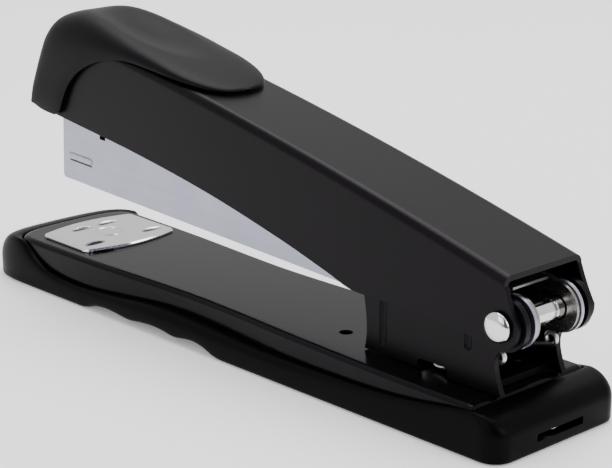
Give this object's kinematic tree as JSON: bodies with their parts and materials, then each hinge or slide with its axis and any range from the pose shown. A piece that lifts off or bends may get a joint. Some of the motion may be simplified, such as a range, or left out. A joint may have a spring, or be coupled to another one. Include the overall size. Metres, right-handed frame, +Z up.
{
  "type": "stapler",
  "caption": "Full-strip desk stapler: plastic base skirt, steel deck with a clinching anvil, riveted bracket, hinged zinc magazine and black arm with a finger cap.",
  "frame": {"origin": "on the table under the middle of the base, half way along it and across it", "axes": "+X along the base towards the hinge, +Y across the base to the far side, +Z up"},
  "size_m": [0.172, 0.038, 0.0687],
  "materials": {
    "black_plastic": "matt moulded",
    "black_paint": "satin black paint",
    "zinc_steel": "zinc plated",
    "chrome": "bright chrome plated",
    "spring_steel": "bright drawn",
    "blade_steel": "hardened, dark",
    "staple_wire": "galvanised wire"
  },
  "bodies": {
    "base": {"base_skirt": "black_plastic", "deck_plate": "black_paint", "base_screw_front": "zinc_steel", "base_screw_rear": "zinc_steel", "remover_tongue": "chrome", "anvil_spring": "spring_steel", "bracket": "black_paint", "bracket_rivet_1": "black_paint", "bracket_rivet_2": "black_paint", "bracket_rivet_3": "black_paint", "bracket_rivet_4": "black_paint", "spring_arbor": "zinc_steel", "lift_spring": "chrome", "hinge_pin": "chrome", "hinge_pin_cap": "chrome", "hinge_washer_near": "black_plastic", "hinge_washer_far": "black_plastic"},
    "anvil": {"anvil_plate": "chrome", "anvil_rivet": "chrome"},
    "magazine": {"magazine_channel": "zinc_steel", "staple_rail": "zinc_steel", "staple_strip": "staple_wire", "rod_anchor": "zinc_steel", "guide_rod": "spring_steel", "pusher_spring": "spring_steel"},
    "pusher": {"pusher": "blade_steel"},
    "arm": {"arm_cover": "black_paint", "driver_blade": "blade_steel", "blade_rivet_1": "zinc_steel", "blade_rivet_2": "zinc_steel", "arm_spring": "spring_steel", "arm_spring_rivet": "spring_steel", "finger_cap": "black_plastic"}
  },
  "joints": [
    {"name": "magazine_lift", "type": "hinge", "parent": "base", "child": "magazine", "pos_m": [0.0793, 0, 0.0256], "axis": [0, 1, 0], "range_deg": [-5.3, 0], "stiffness_Nm_per_rad": 3, "springref_deg": 11.46, "deforming": ["lift_spring"]},
    {"name": "arm_hinge", "type": "hinge", "parent": "magazine", "child": "arm", "pos_m": [0.0793, 0, 0.0256], "axis": [0, 1, 0], "range_deg": [-3.2, 95], "stiffness_Nm_per_rad": 1.2, "springref_deg": 3.44},
    {"name": "pusher_slide", "type": "slide", "parent": "magazine", "child": "pusher", "axis": [0.9991, 0, -0.0426], "range_m": [0, 0.045], "stiffness_N_per_m": 20, "springref_m": -0.15, "deforming": ["pusher_spring"]},
    {"name": "anvil_turn", "type": "hinge", "parent": "base", "child": "anvil", "pos_m": [-0.0591, 0, 0.01159], "axis": [0.0091, 0, 1], "range_deg": [0, 180]}
  ]
}
